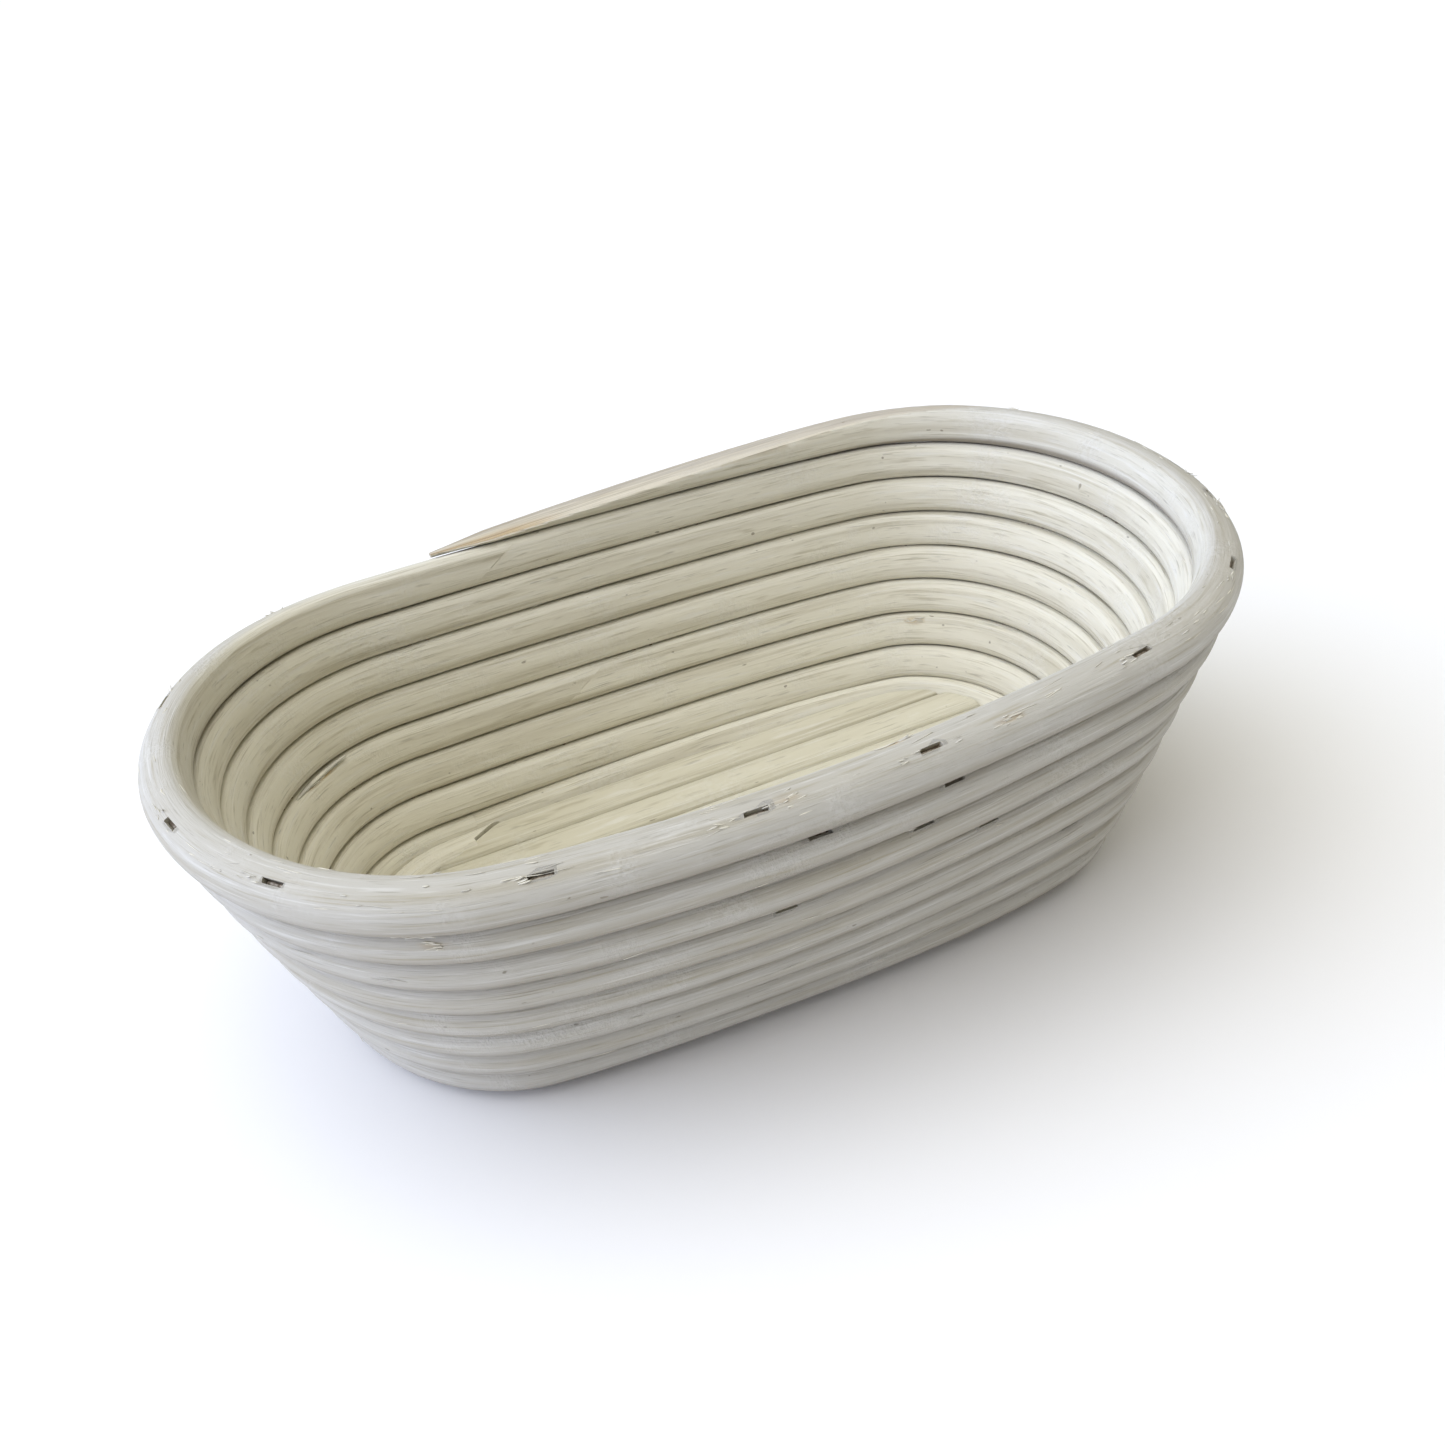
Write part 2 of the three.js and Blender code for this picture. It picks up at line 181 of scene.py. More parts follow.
def rim_point(fraction):
    """A point of the rim's plan, a fraction of the way round from the seam."""
    side_centre = (END_CENTRE**2 - SIDE_BULGE**2) / (2 * SIDE_BULGE)
    side_radius = side_centre + SIDE_BULGE + END_RADIUS
    half_side = math.atan2(END_CENTRE, side_centre)
    side = 2 * side_radius * half_side
    end = END_RADIUS * (math.pi - 2 * half_side)
    start = side_radius * (math.asin(SEAM_X / side_radius) + half_side)
    along = (fraction * 2 * (side + end) + start) % (2 * (side + end))
    turned = along >= side + end
    run = along - side - end if turned else along
    if run < side:
        angle = run / side_radius - half_side
        point = np.array([math.sin(angle), math.cos(angle), 0]) * side_radius
        point[1] -= side_centre
    else:
        angle = half_side + (run - side) / END_RADIUS
        point = np.array([math.sin(angle), math.cos(angle), 0]) * END_RADIUS
        point[0] += END_CENTRE
    if turned:
        point *= -1
    beyond = max(abs(point[0]) - PULL_FROM, 0)
    pull = RIGHT_PULL if point[0] > 0 else LEFT_PULL
    point[0] -= math.copysign(beyond, point[0]) * (1 - pull)
    point[1] -= BOW * (1 - (point[0] / (END_CENTRE + END_RADIUS)) ** 2)
    return point


def step_down(along, lean):
    """From a point of the cane to the turn below it."""
    inward = np.array([along[1], -along[0]]) / math.hypot(along[0], along[1])
    sideways = PITCH * math.sin(lean) * inward
    return np.array([*sideways, -PITCH * math.cos(lean)])


def wind():
    """The centre line's stations, from turn 1 to turn 10."""
    half = 0.5 / STATIONS
    stations = []
    for i in range(STATIONS):
        fraction = i / STATIONS
        along = rim_point(fraction + half) - rim_point(fraction + 1 - half)
        stations.append(rim_point(fraction) + step_down(along, lean_at(fraction)) * fraction)
    floor_level = None
    for i in range((FLOOR_TURN - 1) * STATIONS + 1):
        turn = 1 + i / STATIONS
        along = stations[i + 1] - stations[max(i - 1, 0)]
        lean = lean_at(turn)
        if turn >= LEAN_TURNS[-1]:
            if floor_level is None:
                floor_level = stations[i][2] - PITCH * math.cos(lean)
            lean = math.acos(min((stations[i][2] - floor_level) / PITCH, 1))
        stations.append(stations[i] + step_down(along, lean))
    return np.array(stations)


WINDING = wind()


def centre_at(turn):
    """Points of the centre line, by Catmull-Rom through the stations."""
    place = (np.asarray(turn, float) - 1) * STATIONS
    last = len(WINDING) - 1
    low = np.clip(np.floor(place).astype(int), 0, last - 1)
    t = (place - low)[:, None]
    ends = [WINDING[0] * 2 - WINDING[1], *WINDING, WINDING[-1] * 2 - WINDING[-2]]
    p = np.array(ends)
    a, b, c, d = p[low], p[low + 1], p[low + 2], p[low + 3]
    return b + t / 2 * (c - a + t * (2 * a - 5 * b + 4 * c - d + t * (3 * (b - c) + d - a)))


def unit(v):
    return v / np.linalg.norm(v, axis=-1, keepdims=True)


def frames_at(turn):
    """Centres, and the cane's own axes: along it, out of the basket, up to the turn above."""
    turn = np.asarray(turn, float)
    centre = centre_at(turn)
    near = 1e-3
    along = unit(centre_at(turn + near) - centre_at(turn - near))
    upper = turn < 2
    up = np.where(
        upper[:, None],
        centre - centre_at(np.where(upper, turn + 1, 2)),
        centre_at(np.where(upper, 2, turn - 1)) - centre,
    )
    up = unit(up - along * (up * along).sum(1, keepdims=True))
    return centre, along, np.cross(up, along), up


# ---------- unevenness of natural cane ----------
def lattice(seed, columns, rows):
    return np.random.default_rng(seed).uniform(-1, 1, (columns, rows))


def uneven(seed, length, cell, angle, cells_round):
    """Smooth noise from -1 to 1 over a cane: cells of a length along it, and a number round it."""
    columns = int(length.max() / cell) + 3
    grid = lattice(seed, columns, cells_round)
    u = length / cell
    v = (angle / (2 * math.pi) % 1) * cells_round
    i, j = np.floor(u).astype(int), np.floor(v).astype(int)
    fu, fv = smoothstep(0, 1, u - i), smoothstep(0, 1, v - j)
    j0, j1 = j % cells_round, (j + 1) % cells_round
    near = grid[i, j0] * (1 - fv) + grid[i, j1] * fv
    far = grid[i + 1, j0] * (1 - fv) + grid[i + 1, j1] * fv
    return near * (1 - fu) + far * fu


def cane_relief(seed, length, angle):
    """How far the cane's surface stands in or out, in millimetres: lumps, ribs and fibres."""
    lumps = 0.09 * uneven(seed, length, 38, angle, 4)
    ribs = 0.05 * uneven(seed + 1, length, 26, angle, 14)
    fibres = 0.03 * uneven(seed + 2, length, 12, angle, SIDES // 2)
    return lumps + ribs + fibres


# ---------- meshes ----------
def grid_faces(rings, sides):
    """Quads of a closed tube, then fans over its two ends (the last two points)."""
    i, j = np.meshgrid(np.arange(rings - 1), np.arange(sides), indexing="ij")
    a = (i * sides + j).ravel()
    b = (i * sides + (j + 1) % sides).ravel()
    quads = np.stack([a, b, b + sides, a + sides], 1)
    j = np.arange(sides)
    start, end = rings * sides, rings * sides + 1
    head = np.stack([np.full(sides, start), (j + 1) % sides, j], 1)
    last = (rings - 1) * sides
    tail = np.stack([np.full(sides, end), last + j, last + (j + 1) % sides], 1)
    return [*quads.tolist(), *head.tolist(), *tail.tolist()]


def tube(name, points, marks, offset):
    """A closed tube through rings of points, with numbers of its own at every point (marks)."""
    rings, sides, _ = points.shape
    ends = np.stack([points[0].mean(0), points[-1].mean(0)])
    vertices = (np.concatenate([points.reshape(-1, 3), ends]) + offset) * MM
    vertices[:, 2] = np.maximum(vertices[:, 2], 0)  # the basket stands flat
    mesh = bpy.data.meshes.new(name)
    mesh.from_pydata(vertices.tolist(), [], grid_faces(rings, sides))
    mesh.shade_smooth()
    mesh.set_sharp_from_angle(angle=SHARP)
    for key, values in marks.items():
        values = np.asarray(values, np.float32)
        if values.ndim == 3:
            middle = np.stack([values[0].mean(0), values[-1].mean(0)])
            full = np.concatenate([values.reshape(-1, 3), middle]).ravel()
            mesh.attributes.new(key, "FLOAT_VECTOR", "POINT").data.foreach_set("vector", full)
        else:
            full = np.append(values.ravel(), [values[0].mean(), values[-1].mean()])
            mesh.attributes.new(key, "FLOAT", "POINT").data.foreach_set("value", full)
    piece = bpy.data.objects.new(name, mesh)
    bpy.context.scene.collection.objects.link(piece)
    return piece


def section_angles():
    return (np.arange(SIDES) + 0.5) / SIDES * 2 * math.pi - math.pi / 2


def fuller(angle, squareness):
    """A unit section at an angle, round at squareness 1 and squarer below it."""
    c, s = np.cos(angle), np.sin(angle)
    return np.sign(c) * np.abs(c) ** squareness, np.sign(s) * np.abs(s) ** squareness


def squareness_at(angle):
    """The canes are rounder outside the basket than on the side the mould pressed."""
    outside = smoothstep(-0.4, 0.4, np.cos(angle))
    return INNER_SQUARENESS + (OUTER_SQUARENESS - INNER_SQUARENESS) * outside


def grain_of(length, angle, radius):
    """Where a point is in the cane's own wood, in metres, for grain that follows the cane."""
    return np.stack([length, radius * np.cos(angle), radius * np.sin(angle)], -1) * MM


def scarring(turn, angle, length):
    """How torn a point of a cane is."""
    torn = np.zeros_like(turn)
    turn_length = (length.max() - length.min()) / (turn.max() - turn.min())
    for at, degrees, half_length, half_width, strength in SCARS:
        along = (turn - at) * turn_length / half_length
        away = (angle - math.radians(degrees) + math.pi) % (2 * math.pi) - math.pi
        across = away * CANE_RADIUS / half_width
        torn = np.maximum(torn, strength * smoothstep(1.1, 0.6, np.hypot(along, across)))
    return torn


def wound_cane(name, start, end, seed, trim, offset):
    """A length of cane. trim gets and returns the section's points (out, up), and how far they
    slide along, and adds the marks of any cut."""
    steps = round((end - start) * STEPS_PER_TURN)
    turns = np.linspace(start, end, steps + 1)
    centre, along, out, up = frames_at(turns)
    run = np.linalg.norm(np.diff(centre, axis=0), axis=1)
    length = np.concatenate([[0], np.cumsum(run)])
    length, angle = np.meshgrid(length, section_angles(), indexing="ij")
    turn = np.repeat(turns[:, None], SIDES, 1)
    radius = CANE_RADIUS + cane_relief(seed, length, angle)
    x, y = fuller(angle, squareness_at(angle))
    x, y, slide, cut = trim(radius * x, radius * y, turn, length)
    points = (
        centre[:, None]
        + x[..., None] * out[:, None]
        + y[..., None] * up[:, None]
        + slide[..., None] * along[:, None]
    )
    facing = np.cos(angle)  # 1 on the outside of the basket, -1 on the inside
    cut = np.maximum(cut, scarring(turn, angle, length))
    white_by, fades_from, gone_by = RIM_WHITE
    on_rim = smoothstep(RIM_START, white_by, turn) * smoothstep(gone_by, fades_from, turn)
    open_top = turn < RIM_START + 1
    marks = {
        "grain": grain_of(length + 1000 * seed, angle, CANE_RADIUS),
        "facing": facing + on_rim,
        # where the turns meet, darkened there by the material as painted shade
        "groove": np.where(open_top, -np.sin(angle), np.abs(np.sin(angle))),
        "under": -np.sin(angle),
        "cut": cut,
    }
    return tube(name, points, marks, offset)


def scarf(up, turn, start, end):
    """Slides the ends of a length of cane to cut them on a slant."""
    clearance = SCARF_GAP / 2 * math.hypot(1, SCARF_SLOPE)
    slanted = up * SCARF_SLOPE
    slide = np.where(turn < start + 1e-6, slanted + clearance, 0)
    return np.where(turn > end - 1e-6, slanted - clearance, slide)


def plain_trim(start, end):
    def trim(out, up, turn, _length):
        slide = scarf(up, turn, start, end)
        return out, up, slide, np.zeros_like(out)

    return trim


def skived(out, up, length):
    """Cuts the rim's section back to a plane that rises along the cane, facing up and inwards.
    Also gives how fresh the cut wood looks there."""
    rise = (2 * RIM_RADIUS - SKIVE_TIP) / SKIVE_LENGTH
    level = SKIVE_TIP - RIM_RADIUS + length * rise
    half = np.sqrt(np.maximum(RIM_RADIUS**2 - level**2, 0))
    above = up * math.cos(SKIVE_TILT) - out * math.sin(SKIVE_TILT)
    across = out * math.cos(SKIVE_TILT) + up * math.sin(SKIVE_TILT)
    cut = above > level
    across = np.where(cut, np.clip(across, -half, half), across)
    inner = smoothstep(1.5, -2.5, across)
    narrowing = np.minimum(length / SKIVE_POINT_LENGTH, 1)
    across = across * (SKIVE_POINT + (1 - SKIVE_POINT) * narrowing)
    kept = np.minimum(above, level)
    near_tip = smoothstep(1.4, 0.6, length / FRESH_LENGTH)
    golden = near_tip * (TIP_FRESH + TIP_FRESH_INSIDE * inner)
    fresh = np.where(cut, np.maximum(golden, SKIVE_FRESH), 0)
    return (
        across * math.cos(SKIVE_TILT) - kept * math.sin(SKIVE_TILT),
        across * math.sin(SKIVE_TILT) + kept * math.cos(SKIVE_TILT),
        fresh,
    )


def rim_trim(out, up, turn, length):
    """The rim's cane is thicker, and its start is cut on a long slant."""
    thin = smoothstep(*SWELL_END, turn)
    radius = RIM_RADIUS + (CANE_RADIUS - RIM_RADIUS) * thin
    grow = radius / CANE_RADIUS
    slide = np.where(turn > 1.5, scarf(up, turn, RIM_START, RIM_SPLICE), 0)
    out, up, fresh = skived(out * grow, up * grow, length)
    sprung = SKIVE_SPRING * smoothstep(SPRUNG_LENGTH, 0, length)
    return out, up + radius - CANE_RADIUS + sprung, slide, fresh


def make_canes(offset):
    """The four lengths of the winding, each in place of the CAD's."""
    lengths = [
        ("rim_cane", RIM_START, RIM_SPLICE, rim_trim),
        ("upper_wall_cane", RIM_SPLICE, WALL_SPLICE, None),
        ("lower_wall_cane", WALL_SPLICE, RING_SPLICE, None),
        ("floor_ring_cane", RING_SPLICE, RING_END, None),
    ]
    canes = []
    for i, (node, start, end, trim) in enumerate(lengths):
        trim = trim or plain_trim(start, end)
        seed = 10 * (i + 1)
        piece = wound_cane(f"{node}_look", start, end, seed, trim, offset)
        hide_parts(node)
        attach(piece, "root")
        canes.append(piece)
    return canes


# ---------- slots and staples ----------
def driven_frame(turn, lean):
    """The middle of the cane, along it, and into it from a direction that leans outwards."""
    centre, along, out, up = (part[0] for part in frames_at([turn]))
    into = -(up * math.cos(lean) + out * math.sin(lean))
    return centre, along, into


def slot_boxes(name, turns, lean, radius, size, offset, dark, seed):
    """Ragged boxes, to cut the slots with. dark is 1 for shadowed wood and 2 for black, both
    painted shade in the slot.
    """
    rng = np.random.default_rng(seed)
    length, width, depth = size
    vertices, faces = [], []
    quads = ((0, 2, 3, 1), (4, 5, 7, 6), (0, 1, 5, 4), (2, 6, 7, 3), (0, 4, 6, 2), (1, 3, 7, 5))
    for turn in turns:
        centre, along, into = driven_frame(turn, lean)
        side = np.cross(into, along)
        mouth = centre + offset - into * radius
        first = len(vertices)
        for corner in range(8):
            signs = [1 if corner & bit else -1 for bit in (1, 2, 4)]
            reach = np.array(signs) * (length / 2, width / 2, depth) * rng.uniform(*SLOT_RAGGED, 3)
            point = mouth + along * reach[0] + side * reach[1] + into * reach[2]
            vertices.append((point * MM).tolist())
        for quad in quads:
            faces.append([first + corner for corner in quad])
    mesh = bpy.data.meshes.new(name)
    mesh.from_pydata(vertices, [], faces)
    mesh.attributes.new("slot", "FLOAT", "POINT").data.foreach_set("value", [dark] * len(vertices))
    cutter = bpy.data.objects.new(name, mesh)
    bpy.context.scene.collection.objects.link(cutter)
    return cutter


def cut_out(piece, cutter):
    """Cuts the cutter from a piece, for good, and throws the cutter away."""
    modifier = piece.modifiers.new("slots", "BOOLEAN")
    modifier.operation = "DIFFERENCE"
    modifier.solver = "EXACT"
    modifier.object = cutter
    evaluated = piece.evaluated_get(bpy.context.evaluated_depsgraph_get())
    mesh = bpy.data.meshes.new_from_object(evaluated)
    piece.modifiers.clear()
    mesh.set_sharp_from_angle(angle=SHARP)
    piece.data = mesh
    bpy.data.objects.remove(cutter)


def cut_slots(canes, offset):
    """Cuts a slot for every rim staple, and the wall's slots that stay open."""
    rim, upper_wall, lower_wall, _ = canes
    turns, lean = RIM_STAPLE_TURNS, RIM_STAPLE["lean"]
    slots = slot_boxes("rim_slots", turns, lean, RIM_RADIUS, RIM_SLOT, offset, dark=1.0, seed=5)
    cut_out(rim, slots)
    walls = ((upper_wall, RIM_SPLICE, WALL_SPLICE), (lower_wall, WALL_SPLICE, RING_SPLICE))
    for cane, start, end in walls:
        turns, lean = [turn for turn in OPEN_SLOTS if start < turn < end], WALL_SLOT_LEAN
        slots = slot_boxes(
            "wall_slots", turns, lean, CANE_RADIUS, WALL_SLOT, offset, dark=2.0, seed=6
        )
        cut_out(cane, slots)


def staple(name, turn, radius, kind, offset):
    """A U of wire with rounded shoulders."""
    centre, along, into = driven_frame(turn, kind["lean"])
    half, shoulder = STAPLE_CROWN / 2 - WIRE, STAPLE_SHOULDER
    bend = np.linspace(0, math.pi / 2, 5)
    across = half - shoulder + shoulder * np.sin(bend)
    down = shoulder - shoulder * np.cos(bend)
    path = [(-half, kind["leg"])]
    path += [(-x, y) for x, y in zip(across[::-1], down[::-1])]
    path += list(zip(across, down))
    path += [(half, kind["leg"])]
    path = np.array(path)
    top = centre - into * (radius - kind["sunk"] - WIRE)
    ring = np.arange(8) / 8 * 2 * math.pi
    side = np.cross(along, into)
    tangent = unit(np.gradient(path, axis=0))
    rings = []
    for (x, y), (tx, ty) in zip(path, tangent):
        normal = along * -ty + into * tx
        around = normal * np.cos(ring)[:, None] + side * np.sin(ring)[:, None]
        rings.append(top + along * x + into * y + WIRE * around)
    return tube(name, np.array(rings), {}, offset)


def make_staples(steel, offset):
    kinds = (
        ("rim", RIM_STAPLE_TURNS, RIM_RADIUS, RIM_STAPLE),
        ("wall", WALL_STAPLE_TURNS, CANE_RADIUS, WALL_STAPLE),
    )
    for where, turns, radius, kind in kinds:
        for i, turn in enumerate(turns):
            node = f"{where}_staple_{i + 1}"
            piece = staple(f"{node}_look", turn, radius, kind, offset)
            piece.data.materials.append(steel)
            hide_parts(node)
            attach(piece, "root")


# ---------- fibres ----------
def batch_faces(count, rings, sides):
    one = grid_faces(rings, sides)
    size = rings * sides + 2
    return [[corner + size * i for corner in face] for i in range(count) for face in one]


def strands(name, turn, angle, length, width, lift, drift, offset):
    """Thin flat fibres that lie along the cane and lift from it towards one end. Angles are round
    the cane, drift is how far a fibre wanders round it, and lift is its end's height."""
    rings, sides = 7, 4
    share = np.linspace(0, 1, rings)
    turn_length = np.linalg.norm(centre_at(turn + 1e-3) - centre_at(turn), axis=1) / 1e-3
    turns = turn[:, None] + share * (length / turn_length)[:, None]
    angles = angle[:, None] + share * drift[:, None]
    centre, along, out, up = (part.reshape(*turns.shape, 3) for part in frames_at(turns.ravel()))
    thicker = np.where(turns < SWELL_END[0], RIM_RADIUS, CANE_RADIUS)
    x, y = fuller(angles, squareness_at(angles))
    outward = unit(out * np.cos(angles)[..., None] + up * np.sin(angles)[..., None])
    round_it = np.cross(along, outward)
    surface = centre + (out * x[..., None] + up * y[..., None]) * thicker[..., None]
    surface += up * (thicker - CANE_RADIUS)[..., None]
    surface += outward * (lift[:, None] * share**2)[..., None]
    taper = np.sqrt(np.sin(np.pi * (0.04 + 0.92 * share)))
    half = width[:, None] / 2 * taper
    thick = np.minimum(half, FIBRE_THICK)
    corners = np.stack(
        [
            surface + round_it * half[..., None],
            surface + outward * thick[..., None],
            surface - round_it * half[..., None],
            surface - outward * thick[..., None],
        ],
        2,
    )
    ends = np.stack([corners[:, 0].mean(1), corners[:, -1].mean(1)], 1)
    points = np.concatenate([corners.reshape(len(turn), -1, 3), ends], 1).reshape(-1, 3)
    mesh = bpy.data.meshes.new(name)
    mesh.from_pydata(((points + offset) * MM).tolist(), [], batch_faces(len(turn), rings, sides))
    mesh.shade_smooth()
    piece = bpy.data.objects.new(name, mesh)
    bpy.context.scene.collection.objects.link(piece)
    return piece


def scattered(rng, count, turns, angles, length, width, lift):
    """Random fibres between limits. Angles are in degrees, and the limits of lift are square roots,
    which makes small lifts the commoner."""
    direction = rng.choice((-1, 1), count)
    run = rng.uniform(*length, count) * direction
    return {
        "turn": rng.uniform(*turns, count),
        "angle": np.radians(rng.uniform(*angles, count)),
        "length": run,
        "width": rng.uniform(*width, count),
        "lift": rng.uniform(*lift, count) ** 2,
        "drift": rng.uniform(-0.03, 0.03, count) * np.abs(run),
    }


def make_fibres(look, offset):
    """Loose fibres on the canes, fluff at the rim's staples, and splinters where they are torn."""
    rng = np.random.default_rng(11)
    groups = {
        "rim_fibres": [
            scattered(
                rng, 80, turns=(1.3, 1.9), angles=(40, 150),
                length=(1.5, 6), width=(0.1, 0.25), lift=(0.1, 0.45),
            ),
            scattered(
                rng, 40, turns=(1.35, 1.95), angles=(60, 110),
                length=(0.8, 2.4), width=(0.2, 0.4), lift=(0.2, 0.5),
            ),
        ],
        "inside_fibres": [
            scattered(
                rng, 210, turns=(2.1, 8.9), angles=(120, 235),
                length=(2, 8), width=(0.08, 0.26), lift=(0.1, 0.75),
            ),
        ],
        "outside_fibres": [
            scattered(
                rng, 150, turns=(2.1, 8.9), angles=(-50, 50),
                length=(1.5, 6), width=(0.08, 0.24), lift=(0.1, 0.6),
            ),
        ],
    }
    groups["staple_fluff"] = [
        scattered(
            rng, 5, turns=(turn + 0.006, turn + 0.01), angles=(66, 90),
            length=(1, 2.5), width=(0.15, 0.4), lift=(0.4, 1.0),
        )
        for turn in RIM_STAPLE_TURNS
    ]
    groups["lifted_sliver"] = [
        {key: np.array([value]) for key, value in SLIVER.items()},
        scattered(
            rng, 14, turns=(5.9, 5.955), angles=(125, 150),
            length=(2, 7), width=(0.1, 0.3), lift=(0.3, 1.0),
        ),
    ]
    torn = [(at, degrees, half) for at, degrees, half, _, strength in SCARS if strength < 1]
    groups["torn_edges"] = [
        scattered(
            rng, 9, turns=(at - 0.004, at + 0.004), angles=(degrees - 10, degrees + 10),
            length=(0.8, half), width=(0.12, 0.4), lift=(0.2, 0.7),
        )
        for at, degrees, half in torn
    ]
    for name, parts in groups.items():
        merged = {key: np.concatenate([part[key] for part in parts]) for key in parts[0]}
        piece = strands(name, offset=offset, **merged)
        piece.data.materials.append(look)
        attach(piece, "root")


# ---------- the floor ----------
def inside_of_ring():
    """The outline of the space inside the floor ring, in plan."""
    ring_length = np.linalg.norm(centre_at([9.501]) - centre_at([9.5])) / 0.001
    slant = CAD_RADIUS * SCARF_SLOPE / ring_length
    turns = np.linspace(FLOOR_TURN + slant, RING_END - slant, STEPS_PER_TURN + 1)
    centre, along, _, _ = frames_at(turns)
    inward = unit(np.stack([along[:, 1], -along[:, 0]], 1))
    return centre[:, :2] + inward * (CANE_RADIUS - FLOOR_PRESS)


def span_at(outline, y):
    """The lowest and highest x of an outline at each y."""
    low, high = np.full(y.shape, np.inf), np.full(y.shape, -np.inf)
    for a, b in zip(outline, np.roll(outline, -1, axis=0)):
        rise = b[1] - a[1]
        if abs(rise) < 1e-9:
            continue
        t = (y - a[1]) / rise
        x = a[0] + t * (b[0] - a[0])
        crossing = (t >= 0) & (t <= 1)
        low = np.where(crossing, np.minimum(low, x), low)
        high = np.where(crossing, np.maximum(high, x), high)
    return low, high


def make_floor(offset):
    """The canes inside the ring, each at the place of the CAD's."""
    outline = inside_of_ring()
    middle = outline[np.abs(outline[:, 0]) < END_CENTRE / 2]
    back, front = middle[middle[:, 1] > 0][:, 1].min(), middle[:, 1].min()
    spacing = (back - front) / FLOOR_CANES
    canes = []
    for i in range(FLOOR_CANES):
        node = f"floor_cane_{i + 1}"
        low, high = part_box(node)
        centre_y = (low.y + high.y) / 2 / MM - offset[1]
        bottom = low.z / MM - offset[2]
        seed = 70 + i
        piece = floor_cane(f"{node}_look", centre_y, bottom, spacing, outline, seed, offset)
        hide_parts(node)
        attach(piece, "root")
        canes.append(piece)
    return canes


def floor_cane(name, centre_y, bottom, width, outline, seed, offset):
    """A flattened cane along the basket, cut at both ends to the curve of the ring."""
    angle = section_angles()
    c, s = fuller(angle, FLOOR_SQUARENESS)
    y = centre_y + width / 2 * c
    margin = 0.1  # stays where the outline has two sides
    edge = np.clip(y, outline[:, 1].min() + margin, outline[:, 1].max() - margin)
    low, high = span_at(outline, edge)
    share = np.linspace(0, 1, FLOOR_RINGS)[:, None]
    x = low + (high - low) * share
    length, angle = x - x.min(), np.repeat(angle[None], FLOOR_RINGS, 0)
    relief = cane_relief(seed, length, angle)
    half = FLOOR_CANE_HEIGHT / 2
    z = half * s
    points = np.stack(
        [x, y + relief * np.cos(angle), bottom + half + z + relief * np.sin(angle)], -1
    )
    points[..., 2] = np.maximum(points[..., 2], bottom)
    marks = {
        "grain": grain_of(length + 1000 * seed, angle, CANE_RADIUS),
        "facing": np.full_like(x, -1),
        # the floor canes' sides, darkened there by the material as painted shade
        "groove": np.abs(np.cos(angle)),
        "cut": np.zeros_like(x),
    }
    return tube(name, points, marks, offset)


# ---------- materials ----------
class Nodes:
    """A few words for building a material's nodes."""

    def __init__(self, name=None, tree=None):
        if name:
            self.material = bpy.data.materials.new(name)
            self.material.use_nodes = True
            tree = self.material.node_tree
            self.shader = tree.nodes["Principled BSDF"]
        self.tree = tree

    def add(self, kind, inputs=None, **settings):
        node = self.tree.nodes.new(kind)
        for key, value in settings.items():
            setattr(node, key, value)
        for key, value in (inputs or {}).items():
            self.set(node.inputs[key], value)
        return node

    def set(self, socket, value):
        if isinstance(value, bpy.types.NodeSocket):
            self.tree.links.new(value, socket)
        else:
            socket.default_value = value

    def mark(self, name):
        return self.add("ShaderNodeAttribute", attribute_name=name).outputs["Fac"]

    def math(self, operation, a, b=0.0, clamp=False):
        node = self.add("ShaderNodeMath", {0: a, 1: b}, operation=operation, use_clamp=clamp)
        return node.outputs[0]

    def ramp(self, value, low, high, to_low=0.0, to_high=1.0):
        node = self.add("ShaderNodeMapRange", interpolation_type="SMOOTHSTEP")
        for socket, number in zip(node.inputs, (value, low, high, to_low, to_high)):
            self.set(socket, number)
        return node.outputs["Result"]

    def mix(self, factor, a, b, blend_type="MIX"):
        node = self.add("ShaderNodeMix", data_type="RGBA", blend_type=blend_type)
        self.set(node.inputs[0], factor)
        self.set(node.inputs[6], a)
        self.set(node.inputs[7], b)
        return node.outputs[2]

    def noise(self, place, scale, detail=2.0, roughness=0.5):
        inputs = {"Vector": place, "Scale": scale, "Detail": detail, "Roughness": roughness}
        return self.add("ShaderNodeTexNoise", inputs).outputs["Fac"]

    def tint(self, colour, amount, strength, other):
        """A colour with some of another mixed in."""
        return self.mix(self.math("MULTIPLY", amount, strength), colour, other)

    def stretched(self, place, scale):
        return self.add("ShaderNodeMapping", {"Vector": place, "Scale": scale}).outputs["Vector"]


def rgb(red, green, blue):
    """A colour given as it shows on screen (0-255), as the shader wants it."""
    linear = [((c / 255 + 0.055) / 1.055) ** 2.4 for c in (red, green, blue)]
    return (*linear, 1.0)


# Colours of the cane. Clean is bleached and floury, cream is bare.
WHITE_CANE = rgb(191, 188, 178)
CREAM_CANE = rgb(228, 224, 208)
GOLD_CANE = rgb(190, 184, 158)
TAN_CUT = rgb(188, 163, 114)
DEEP_CUT = rgb(134, 103, 62)
FLOUR = rgb(228, 227, 222)
STREAK = rgb(160, 150, 122)
UNDERSIDE_SHADE = rgb(140, 130, 113)  # painted shade on the undersides of the canes outside the basket
# Dark dirt for specks and threads, also used as painted shade in the grooves where turns meet
DIRT_AND_GROOVE_SHADE = rgb(104, 94, 72)
LOOSE = rgb(204, 201, 190)  # torn fibres
SLOT_SHADED_WOOD = rgb(120, 106, 88)
SLOT_SHADOW = rgb(46, 40, 34)
STEEL = rgb(168, 158, 144)
TARNISH = rgb(110, 96, 80)


